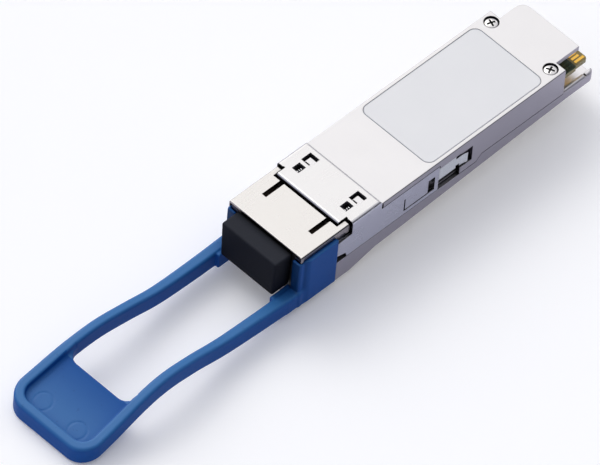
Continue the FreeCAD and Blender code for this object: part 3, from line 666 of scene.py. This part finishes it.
# ---- dust plug -----------------------------------------------------------------------
def plug_field(p):
    """Distance field of the plug: block head, two keyed hollow prongs."""
    x, y, z = p
    share = (z - PLUG_Z[0]) / (PLUG_Z[1] - PLUG_Z[0])
    half = PLUG_BOTTOM_HALF + (PLUG_TOP_HALF - PLUG_BOTTOM_HALF) * np.clip(share, 0, 1)
    along = np.abs(y - sum(PLUG_Y) / 2) - (PLUG_Y[1] - PLUG_Y[0]) / 2
    upright = np.abs(z - sum(PLUG_Z) / 2) - (PLUG_Z[1] - PLUG_Z[0]) / 2
    head = both(both(np.abs(x) - half, along, 0.4), upright, 0.4)
    prongs = None
    for centre in PORT_X:
        prong = block(p, (centre - PRONG_HALF, centre + PRONG_HALF), PRONG_Y, PRONG_Z, 0.35)
        key = block(p, (centre - KEY_HALF, centre + KEY_HALF), KEY_Y, KEY_Z, 0.3)
        bore = both(np.hypot(x - centre, z - PORT_Z) - BORE_R, BORE_FLOOR - y, 0.3)
        prong = both(either(prong, key, 0.3), -bore, 0.15)
        prongs = prong if prongs is None else np.minimum(prongs, prong)
    return either(head, prongs, 0.3)


def make_dust_plug():
    low = (-PLUG_TOP_HALF, PLUG_Y[0], PLUG_Z[0])
    high = (PLUG_TOP_HALF, PRONG_Y[1], PLUG_Z[1])
    plug = surface_mesh("dust_plug_moulding", plug_field, low, high, PLUG_STEP)
    plug.data.materials.append(matt_rubber())
    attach(plug, "plug")
    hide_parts("dust_plug")


# ---- screws ---------------------------------------------------------------------------
def screw_field(centre_x, turn):
    """Distance field of one cross-recess screw."""
    def field(p):
        x, y, z = p[0] - centre_x, p[1] - SCREW_Y, p[2]
        radius = np.hypot(x, y)
        dome = np.sqrt(radius ** 2 + (z - SCREW_TOP + DOME_R) ** 2) - DOME_R
        head = both(both(radius - HEAD_R, dome, 0.1), SCREW_SEAT - z, 0.03)
        angle = np.arctan2(y, x)
        wave = np.abs((z / THREAD_PITCH - angle / (2 * np.pi)) % 1.0 - 0.5) * 2
        thread = radius - THREAD_ROOT_R - THREAD_DEPTH * wave
        shank = np.maximum(np.maximum(thread, z - SHANK_TOP), SCREW_END - z)
        a = x * math.cos(turn) + y * math.sin(turn)
        b = y * math.cos(turn) - x * math.sin(turn)
        depth = SCREW_TOP - z
        arms = []
        for u, v in ((a, b), (b, a)):
            width = np.abs(u) - CROSS_HALF + 0.06 * depth
            arms.append(np.maximum(width, np.abs(v) - CROSS_REACH + 0.5 * depth))
        cross = np.maximum(np.minimum(*arms), CROSS_FLOOR - z)
        return both(np.minimum(head, shank), -cross, 0.05)
    return field


def make_screws():
    finish = metal("screw_plate", (0.78, 0.76, 0.73), 0.2, 0.3, edge=0.03, gap=0.5).material
    for side, turn in ((1, 25), (-1, -20)):
        name = "cover_screw_right" if side > 0 else "cover_screw_left"
        x = side * SCREW_X
        field = screw_field(x, math.radians(turn))
        low = (x - HEAD_BOX, SCREW_Y - HEAD_BOX, SCREW_END)
        high = (x + HEAD_BOX, SCREW_Y + HEAD_BOX, SCREW_TOP)
        screw = surface_mesh(name, field, low, high, SCREW_STEP)
        screw.data.materials.append(finish)
        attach(screw, "housing")
        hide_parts("cover_screws")


# ---- springs -----------------------------------------------------------------------------
def spring_points(turns=SPRING_TURNS, per_turn=24, around=10):
    """Rings of points along a coil of even pitch; one list per ring."""
    length = SPRING_Y[1] - SPRING_Y[0] - 2 * WIRE_R - 2 * SPRING_END_GAP
    rings = []
    for i in range(turns * per_turn + 1):
        share = i / (turns * per_turn)
        angle = 2 * math.pi * turns * share
        ends = min(share, 1 - share) * turns
        along = share if ends > 1 else share
        centre = np.array([SPRING_R * math.cos(angle), along * length, SPRING_R * math.sin(angle)])
        out = np.array([math.cos(angle), 0, math.sin(angle)])
        rings.append([centre + WIRE_R * (math.cos(t) * out + math.sin(t) * np.array([0, 1, 0]))
                      for t in np.linspace(0, 2 * math.pi, around, endpoint=False)])
    return rings


def make_spring(side):
    rings = spring_points()
    around = len(rings[0])
    start = np.array([side * SPRING_X, SPRING_Y[0] + WIRE_R + SPRING_END_GAP, SPRING_Z])
    points = [start + q for ring in rings for q in ring]
    faces = []
    for i in range(len(rings) - 1):
        for k in range(around):
            a, b = i * around + k, i * around + (k + 1) % around
            faces.append((a, b, b + around, a + around))
    faces.append(tuple(range(around))[::-1])
    faces.append(tuple((len(rings) - 1) * around + k for k in range(around)))
    word = "right" if side > 0 else "left"
    spring = mesh_object("return_coil_" + word, points, faces)
    wire = metal("spring_wire_" + word, (0.66, 0.66, 0.69), 0.22, 0.2, edge=0.02, gap=0.3)
    spring.data.materials.append(wire.material)
    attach(spring, "housing")
    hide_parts("return_spring_right" if side > 0 else "return_spring_left")
    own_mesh(spring)


# ---- earth fingers --------------------------------------------------------------------------
def finger_field(low_x):
    """Distance field of three short bars side by side along Y."""
    def field(p):
        width = (low_x, low_x + FINGER_SIZE[0])
        bars = [block(p, width, (y, y + FINGER_SIZE[1]), FINGER_Z, 0.05) for y in FINGER_Y]
        return np.minimum.reduce(bars)
    return field


def make_window_fingers():
    """Short bright fingers that show in each square window of the collar."""
    finish = metal("finger_sheet", (0.88, 0.87, 0.86), 0.2, 0.3, edge=0.02, gap=0.1).material
    for name, low_x in FINGER_X.items():
        low = (low_x, FINGER_Y[0], FINGER_Z[0])
        high = (low_x + FINGER_SIZE[0], FINGER_Y[-1] + FINGER_SIZE[1], FINGER_Z[1])
        piece = surface_mesh(name, finger_field(low_x), low, high, FINGER_STEP)
        piece.data.materials.append(finish)
        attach(piece, "housing")


# ---- studio ----------------------------------------------------------------------------------
SKY_LEVELS = (0.38, 0.60)          # at the horizon and well above it
FLOOR_GLOW = 0.14                  # the paper lies on a faint light table
SKY_COLOUR = (0.94, 0.96, 1.08, 1.0)
LAMP_COLOUR = (1.0, 0.985, 0.96, 1.0)
# azimuth, elevation, sharpness and level of each soft light
SKY_LAMPS = [(-140, 52, 3.0, 0.42), (-95, 42, 20.0, 5.0)]
# azimuth, elevation, sharpness and darkness of each dark panel
SKY_FLAGS = [(123, 24, 10.0, 0.85), (60, 12, 2.0, 0.55)]


# azimuth, elevation, distance, size and power of the soft lamp above the front
FILL = (20, 60, 2.0, 1.2, 0.8)
FLOOR_HALF = 12.0


def make_floor():
    size = FLOOR_HALF
    mesh = bpy.data.meshes.new("floor")
    corners = [(-size, -size, 0), (size, -size, 0), (size, size, 0), (-size, size, 0)]
    mesh.from_pydata(corners, [], [(0, 1, 2, 3)])
    floor = bpy.data.objects.new("floor", mesh)
    bpy.context.scene.collection.objects.link(floor)
    n = Nodes("floor_paper")
    n.set(Base_Color=n.mix(n.noise(40.0), (0.90, 0.90, 0.90), (0.92, 0.92, 0.92)), Roughness=0.9)
    n.set(Emission_Color=(1.0, 1.0, 1.0, 1.0), Emission_Strength=FLOOR_GLOW)
    n.set(Specular_IOR_Level=0.1)
    floor.data.materials.append(n.material)


def make_sky():
    """A soft dome with a broad window, a tighter key light and two dark panels."""
    world = bpy.data.worlds.new("studio_dome")
    bpy.context.scene.world = world
    world.use_nodes = True
    tree = world.node_tree

    def add(kind, *values, **settings):
        node = tree.nodes.new(kind)
        for key, value in settings.items():
            setattr(node, key, value)
        for socket, value in zip(node.inputs, values):
            if isinstance(value, bpy.types.NodeSocket):
                tree.links.new(value, socket)
            else:
                socket.default_value = value
        return node.outputs

    def lobe(azimuth, elevation, sharpness):
        towards = view_axes(azimuth, elevation, 0.0)[2]
        near = add("ShaderNodeVectorMath", direction, tuple(towards), operation="DOT_PRODUCT")["Value"]
        near = add("ShaderNodeMath", near, 0.0, operation="MAXIMUM")[0]
        return add("ShaderNodeMath", near, sharpness, operation="POWER")[0]

    direction = add("ShaderNodeTexCoord")["Generated"]
    height = add("ShaderNodeSeparateXYZ", direction)[2]
    dome = add("ShaderNodeMapRange", height, -0.05, 0.6, *SKY_LEVELS, clamp=True)[0]
    for azimuth, elevation, sharpness, level in SKY_FLAGS:
        panel = lobe(azimuth, elevation, sharpness)
        shade = add("ShaderNodeMath", panel, -level, 1.0, operation="MULTIPLY_ADD")[0]
        dome = add("ShaderNodeMath", dome, shade, operation="MULTIPLY")[0]
    lamps = 0.0
    for azimuth, elevation, sharpness, level in SKY_LAMPS:
        lamp = lobe(azimuth, elevation, sharpness)
        lamps = add("ShaderNodeMath", lamp, level, lamps, operation="MULTIPLY_ADD")[0]
    sky = add("ShaderNodeBackground", SKY_COLOUR, dome)[0]
    light = add("ShaderNodeBackground", LAMP_COLOUR, lamps)[0]
    total = add("ShaderNodeAddShader", sky, light)[0]
    tree.links.new(total, tree.nodes["World Output"].inputs["Surface"])


def make_softbox(name, azimuth, elevation, distance, size, power):
    light = bpy.data.lights.new(name, "AREA")
    light.shape = "DISK"
    light.size = size
    light.energy = power
    lamp = bpy.data.objects.new(name, light)
    bpy.context.scene.collection.objects.link(lamp)
    back = view_axes(azimuth, elevation, 0.0)[2]
    lamp.location = back * distance
    lamp.rotation_euler = (-back).to_track_quat("-Z", "Y").to_euler()


def view_axes(azimuth, elevation, roll):
    """Right, up and back vectors of a camera that looks from that side."""
    a, e, r = (math.radians(v) for v in (azimuth, elevation, roll))
    back = Vector((math.sin(a) * math.cos(e), -math.cos(a) * math.cos(e), math.sin(e)))
    right = Vector((0, 0, 1)).cross(back).normalized()
    up = back.cross(right)
    turned_right = math.cos(r) * right + math.sin(r) * up
    turned_up = math.cos(r) * up - math.sin(r) * right
    return turned_right, turned_up, back


def make_camera():
    camera = bpy.data.objects.new("camera", bpy.data.cameras.new("camera"))
    bpy.context.scene.collection.objects.link(camera)
    bpy.context.scene.camera = camera
    right, up, back = view_axes(CAMERA_AZIMUTH, CAMERA_ELEVATION, CAMERA_ROLL)
    place = Vector(anchor(*CAMERA_TARGET)) + back * CAMERA_DISTANCE * MM
    camera.matrix_world = Matrix.Translation(place) @ Matrix((right, up, back)).transposed().to_4x4()
    camera.data.sensor_width = SENSOR
    camera.data.lens = PIXELS_PER_MM * CAMERA_DISTANCE / IMAGE_WIDTH * SENSOR
    camera.data.clip_start = 0.1
    camera.data.clip_end = 40.0


bpy.context.scene.view_settings.view_transform = "Standard"
paint_cad_nodes()
make_pull_tab()
make_dust_plug()
make_screws()
for spring_side in (1, -1):
    make_spring(spring_side)
make_window_fingers()
make_floor()
make_sky()
make_softbox("fill", *FILL)
make_camera()
